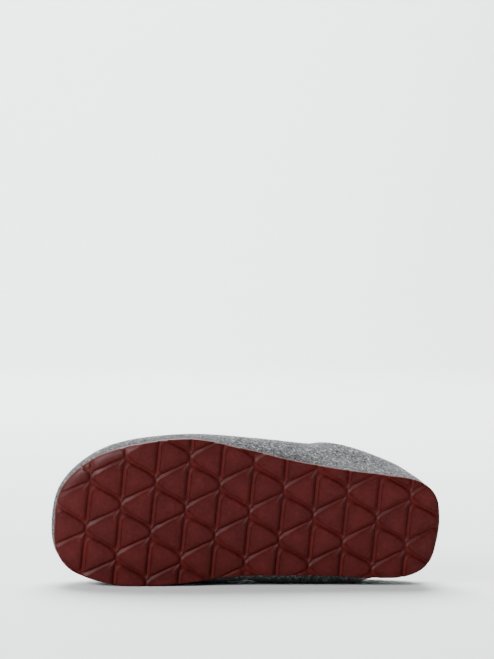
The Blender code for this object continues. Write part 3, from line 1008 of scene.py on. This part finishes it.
def rubber_material():
    """Satin burgundy rubber: cloudy colour, fine grain, painted shade at the lug edges, painted sheen that
    pales and lightens the lug tops, and polished slopes.
    """
    rubber = Shader("burgundy_rubber")
    cloud = rubber.noise(scale=70, detail=3.0, rough=0.55)
    colour = rubber.ramp(cloud, (0.32, (0.034, 0.0036, 0.0031)), (0.52, (0.039, 0.0040, 0.0034)),
                         (0.70, (0.046, 0.0046, 0.0040)))
    speck = rubber.noise(scale=420, detail=4.0, rough=0.65)
    bloom = rubber.ramp(speck, (0.40, (0.91, 0.90, 0.90)), (0.66, (1.14, 1.18, 1.18)))
    colour = rubber.mix(1.0, colour, bloom, "MULTIPLY")
    # Painted shade darkens the lug edges; painted sheen pales the lug tops and lightens their middles
    painted_edge_shade_and_sheen = rubber.ramp(rubber.mask(), (0.0, (0.90, 0.94, 0.97)), (0.26, (0.90, 0.94, 0.97)),
                       (0.38, (0.74, 0.74, 0.78)), (0.50, (0.93, 1.22, 1.36)), (1.0, (1.07, 1.55, 1.85)))
    colour = rubber.mix(1.0, colour, painted_edge_shade_and_sheen, "MULTIPLY")
    rubber.link(colour, rubber.main.inputs["Base Color"])
    grain = rubber.bump(rubber.noise(scale=2400, detail=3.0, rough=0.6), strength=0.22, distance=0.00012)
    uneven = rubber.bump(rubber.noise(scale=260), strength=0.18, distance=0.0004, before=grain)
    rubber.link(uneven, rubber.main.inputs["Normal"])
    rubber.link(rubber.ramp(rubber.noise(scale=180, detail=3.0), (0.35, grey(0.44)), (0.65, grey(0.54))),
                rubber.main.inputs["Roughness"])
    rubber.link(rubber.ramp(rubber.mask("polish"), (0.0, grey(0.055)), (1.0, grey(0.15))),
                rubber.main.inputs["Specular IOR Level"])
    return rubber.material


def stage_material():
    """Pale seamless paper."""
    paper = Shader("pale_paper")
    cloud = paper.noise(scale=1.3, detail=1.0)
    tint = paper.ramp(cloud, (0.4, (0.836, 0.873, 0.862)), (0.6, (0.846, 0.884, 0.873)))
    paper.link(tint, paper.main.inputs["Base Color"])
    paper.set(Roughness=0.9, Specular_IOR_Level=0.1)
    return paper.material


def make_stage():
    """Floor and backdrop in one seamless sweep."""
    half, front, back, bend, bend_steps, tall = 5.0, -4.5, 2.4, 0.6, 12, 4.0
    profile = [(front, 0.0), (back, 0.0)]
    for turn in np.linspace(0, math.pi / 2, bend_steps + 1)[1:]:
        profile.append((back + bend * math.sin(turn), bend * (1 - math.cos(turn))))
    profile.append((back + bend, tall))
    verts = [(x, y, z) for y, z in profile for x in (-half, half)]
    faces = [(2 * k, 2 * k + 1, 2 * k + 3, 2 * k + 2) for k in range(len(profile) - 1)]
    mesh = bpy.data.meshes.new("stage")
    mesh.from_pydata(verts, [], faces)
    mesh.shade_smooth()
    mesh.materials.append(stage_material())
    stage = bpy.data.objects.new("stage", mesh)
    bpy.context.scene.collection.objects.link(stage)
    return stage


def make_light(name, place, aim, size, power, only=None, shine=True, dull=True, spread=math.pi):
    """A soft round light, which may light one collection only and leave out its shine or its dull light."""
    lamp = bpy.data.lights.new(name, "AREA")
    lamp.shape, lamp.size, lamp.energy, lamp.spread = "DISK", size, power, spread
    light = bpy.data.objects.new(name, lamp)
    light.location = place
    light.rotation_euler = (Vector(aim) - Vector(place)).to_track_quat("-Z", "Y").to_euler()
    light.visible_glossy, light.visible_diffuse = shine, dull
    bpy.context.scene.collection.objects.link(light)
    if only:
        light.light_linking.receiver_collection = only


def make_lights(tread, stage):
    """Dim air, a big light overhead, a key light, and lights for the tread alone or the stage alone."""
    world = bpy.data.worlds.new("studio")
    world.use_nodes = True
    air = world.node_tree.nodes["Background"]
    air.inputs["Color"].default_value = AIR_COLOUR
    air.inputs["Strength"].default_value = AIR_STRENGTH
    bpy.context.scene.world = world
    make_light("overhead", (0, 1.45, 2.2), FLOOR_MIDDLE, size=2.2, power=217)
    make_light("floor_fill", (-0.4, -2.2, 2.0), FLOOR_MIDDLE, size=2.0, power=26, only=stage)
    make_light("floor_side", KEY_PLACE, SHOE_MIDDLE, size=0.9, power=38, only=stage)
    make_light("back_fill", (0, -1.0, 2.6), BACKDROP, size=1.6, power=118, only=stage, spread=BACK_SPREAD)
    make_light("key", KEY_PLACE, SHOE_MIDDLE, size=0.9, power=16)
    make_light("tread_side", (-3.7, -2.1, 0.5), SHOE_MIDDLE, size=1.8, power=505, only=tread, shine=False)
    make_light("tread_fill", (0.75, -0.75, 0.35), SHOE_MIDDLE, size=0.5, power=4, only=tread, shine=False)
    make_light("tread_shine", (-1.20, -1.40, 1.30), SHOE_MIDDLE, size=0.8, power=84, only=tread, dull=False)
    make_light("tread_top", (-0.2, 0.5, 2.0), SHOE_MIDDLE, size=0.9, power=70, only=tread, shine=False)


def make_camera():
    """The photo's camera."""
    lens = bpy.data.cameras.new("camera")
    lens.lens = CAMERA_LENS
    lens.sensor_width = CAMERA_SENSOR
    camera = bpy.data.objects.new("camera", lens)
    turn = Matrix.Rotation(math.radians(-CAMERA_HEADING), 4, "Z")
    turn = turn @ Matrix.Rotation(math.radians(90 + CAMERA_PITCH), 4, "X")
    turn = turn @ Matrix.Rotation(math.radians(CAMERA_ROLL), 4, "Z")
    camera.matrix_world = Matrix.Translation(CAMERA_PLACE) @ turn
    bpy.context.scene.collection.objects.link(camera)
    bpy.context.scene.camera = camera


make_camera()
stage = make_stage()

sole_verts, sole_faces, lug_mask, polish = outsole_mesh()
turned = sole_verts @ TURN.T
cad_low, cad_high = (np.array(corner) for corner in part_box("outsole"))
place = (cad_low + cad_high - turned.min(axis=0) - turned.max(axis=0)) / 2
# The floor's height along the turned shoe's own upright, before the shoe is placed
floor = -place[2]

outsole = make_piece("outsole_tread", sole_verts, sole_faces, place, rubber_material(),
                     lug_mask, polish)
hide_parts("outsole")
tread_only, stage_only = (bpy.data.collections.new(name) for name in ("tread_only", "stage_only"))
tread_only.objects.link(outsole)
stage_only.objects.link(stage)
make_lights(tread_only, stage_only)

felt_verts, felt_faces, felt_mask = upper_mesh(floor)
upper = make_piece("upper_shell", felt_verts, felt_faces, place,
                   felt_material("grey_felt", dark=0.007, middle=0.122, light=0.53, warm=-0.07),
                   felt_mask)
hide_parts("upper")

fibre_verts, fibre_faces, fibre_tone = fibre_mesh(floor)
make_piece("felt_fibres", fibre_verts, fibre_faces, place, fibre_material(), fibre_tone)

stitch_verts, stitch_faces = stitch_mesh(floor)
make_piece("seam_stitches", stitch_verts, stitch_faces, place, thread_material())

insole_verts, insole_faces = insole_mesh()
insole = make_piece("insole_bed", insole_verts, insole_faces, place,
                    felt_material("footbed_felt", dark=0.05, middle=0.17, light=0.34, warm=0.04, fine=1.2))
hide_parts("insole")
